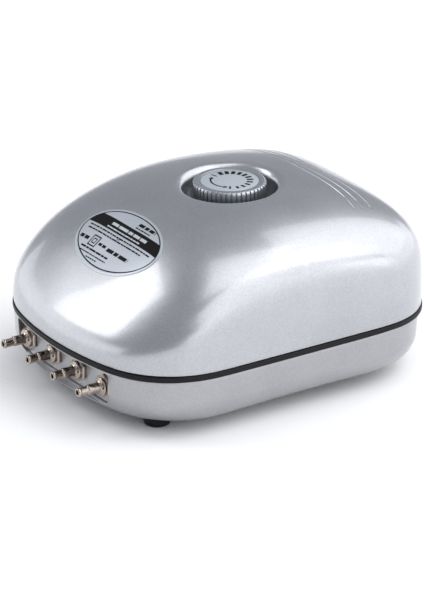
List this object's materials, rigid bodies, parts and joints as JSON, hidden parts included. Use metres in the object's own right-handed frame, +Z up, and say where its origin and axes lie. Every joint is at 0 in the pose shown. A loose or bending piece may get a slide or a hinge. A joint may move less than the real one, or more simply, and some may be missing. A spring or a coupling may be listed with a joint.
{
  "type": "air pump",
  "caption": "Mains diaphragm air pump for aquariums and ponds: domed silver case, rubber band seal, flow knob in a round well, barbed brass outlets at the front.",
  "frame": {"origin": "bottom centre of the whole pump, nozzles included, on the surface that the rubber feet stand on", "axes": "+Z up; -Y towards the front, where the outlet nozzles are; +X to the right of someone who faces the front"},
  "size_m": [0.1572, 0.1996, 0.0963],
  "materials": {
    "cover_paint": "satin silver paint over ABS with a clear coat",
    "tray_paint": "satin silver paint over ABS",
    "band_rubber": "matte",
    "foot_rubber": "matte",
    "bush_rubber": "matte",
    "label_film": "printed silver film",
    "nickel_brass": "bright nickel plating",
    "bright_steel": "zinc plated",
    "plated_steel": "zinc plated sheet",
    "core_steel": "varnished laminations",
    "copper_winding": "enamelled copper wire",
    "white_nylon": "moulded",
    "circuit_board": "green solder mask",
    "black_nylon": "moulded, glass filled",
    "silicone": "translucent, satin",
    "ferrite": "ground",
    "cast_aluminium": "satin",
    "filter_felt": "needled felt"
  },
  "bodies": {
    "case": {"top_cover": "cover_paint", "base_tray": "tray_paint", "outlet_panel": "tray_paint", "filter_cover": "tray_paint", "cover_gasket": "band_rubber", "cable_gland": "band_rubber", "foot_front_left": "foot_rubber", "foot_front_right": "foot_rubber", "foot_rear_left": "foot_rubber", "foot_rear_right": "foot_rubber", "isolation_bush_front_left": "bush_rubber", "isolation_bush_front_right": "bush_rubber", "isolation_bush_rear_left": "bush_rubber", "isolation_bush_rear_right": "bush_rubber", "right_diaphragm": "bush_rubber", "left_diaphragm": "bush_rubber", "name_label": "label_film", "outlet_nozzle_1": "nickel_brass", "outlet_nozzle_2": "nickel_brass", "outlet_nozzle_3": "nickel_brass", "outlet_nozzle_4": "nickel_brass", "base_screw_front_left": "bright_steel", "base_screw_front_right": "bright_steel", "base_screw_rear_left": "bright_steel", "base_screw_rear_right": "bright_steel", "right_pivot_pin": "bright_steel", "left_pivot_pin": "bright_steel", "potentiometer": "plated_steel", "pump_plate": "plated_steel", "core_cradle": "plated_steel", "right_pivot_bracket": "plated_steel", "left_pivot_bracket": "plated_steel", "magnet_core": "core_steel", "right_coil": "copper_winding", "left_coil": "copper_winding", "right_coil_bobbin": "white_nylon", "left_coil_bobbin": "white_nylon", "terminal_block": "white_nylon", "board_capacitor": "white_nylon", "control_board": "circuit_board", "air_manifold": "black_nylon", "right_air_chamber": "black_nylon", "left_air_chamber": "black_nylon", "right_chamber_lid": "black_nylon", "left_chamber_lid": "black_nylon", "right_clamp_ring": "black_nylon", "left_clamp_ring": "black_nylon", "right_delivery_hose": "silicone", "left_delivery_hose": "silicone", "filter_felt": "filter_felt"},
    "knob": {"control_knob": "cover_paint", "knob_disc": "label_film", "control_shaft": "cast_aluminium"},
    "right_arm": {"right_swing_arm": "cast_aluminium", "right_arm_magnet": "ferrite", "right_diaphragm_piston": "cast_aluminium"},
    "left_arm": {"left_swing_arm": "cast_aluminium", "left_arm_magnet": "ferrite", "left_diaphragm_piston": "cast_aluminium"}
  },
  "joints": [
    {"name": "knob_turn", "type": "hinge", "parent": "case", "child": "knob", "pos_m": [0, 0.0135, 0.08], "axis": [0, 0, 1], "range_deg": [-150, 150]},
    {"name": "right_arm_swing", "type": "hinge", "parent": "case", "child": "right_arm", "pos_m": [0.03705, -0.0462, 0.035], "axis": [0, 0, 1], "range_deg": [-1.5, 1.5], "stiffness_Nm_per_rad": 12},
    {"name": "left_arm_swing", "type": "hinge", "parent": "case", "child": "left_arm", "pos_m": [-0.03705, -0.0462, 0.035], "axis": [0, 0, -1], "range_deg": [-1.5, 1.5], "stiffness_Nm_per_rad": 12}
  ]
}
